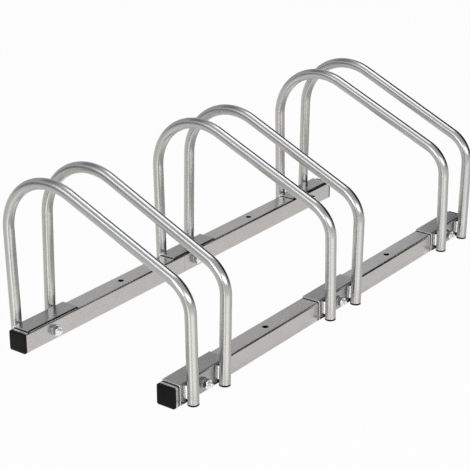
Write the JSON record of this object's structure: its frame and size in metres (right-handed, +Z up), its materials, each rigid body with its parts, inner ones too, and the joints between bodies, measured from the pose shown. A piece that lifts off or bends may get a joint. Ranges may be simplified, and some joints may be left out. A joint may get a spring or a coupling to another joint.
{
  "type": "bike storage rack",
  "caption": "Low floor stand of square rails and bent tube hoops in pairs, which holds bicycles upright by a wheel.",
  "frame": {"origin": "on the floor, in the middle of the stand's length and depth", "axes": "+X along the rails, +Y towards the tall side of the hoops, +Z up"},
  "size_m": [0.76, 0.33, 0.2619],
  "materials": {
    "rail_steel": "satin zinc plate",
    "bracket_steel": "satin zinc plate",
    "hoop_steel": "bright zinc plate",
    "weld_steel": "plated weld",
    "fastener_steel": "bright zinc plate",
    "cap_plastic": "black, satin",
    "foot_plastic": "black, satin"
  },
  "bodies": {
    "root": {"front_rail_left": "rail_steel", "front_rail_right": "rail_steel", "back_rail_left": "rail_steel", "back_rail_right": "rail_steel", "front_left_end_cap": "cap_plastic", "front_right_end_cap": "cap_plastic", "back_left_end_cap": "cap_plastic", "back_right_end_cap": "cap_plastic", "left_bay_front_bracket": "bracket_steel", "left_bay_back_bracket": "bracket_steel", "middle_bay_front_bracket": "bracket_steel", "middle_bay_back_bracket": "bracket_steel", "right_bay_front_bracket": "bracket_steel", "right_bay_back_bracket": "bracket_steel", "left_bay_left_hoop": "hoop_steel", "left_bay_right_hoop": "hoop_steel", "middle_bay_left_hoop": "hoop_steel", "middle_bay_right_hoop": "hoop_steel", "right_bay_left_hoop": "hoop_steel", "right_bay_right_hoop": "hoop_steel", "left_bay_front_welds": "weld_steel", "left_bay_back_welds": "weld_steel", "middle_bay_front_welds": "weld_steel", "middle_bay_back_welds": "weld_steel", "right_bay_front_welds": "weld_steel", "right_bay_back_welds": "weld_steel", "left_bay_left_front_foot": "foot_plastic", "left_bay_left_back_foot": "foot_plastic", "left_bay_right_front_foot": "foot_plastic", "left_bay_right_back_foot": "foot_plastic", "middle_bay_left_front_foot": "foot_plastic", "middle_bay_left_back_foot": "foot_plastic", "middle_bay_right_front_foot": "foot_plastic", "middle_bay_right_back_foot": "foot_plastic", "right_bay_left_front_foot": "foot_plastic", "right_bay_left_back_foot": "foot_plastic", "right_bay_right_front_foot": "foot_plastic", "right_bay_right_back_foot": "foot_plastic", "hex_bolts": "fastener_steel", "washers": "fastener_steel", "hex_nuts": "fastener_steel"}
  },
  "joints": []
}
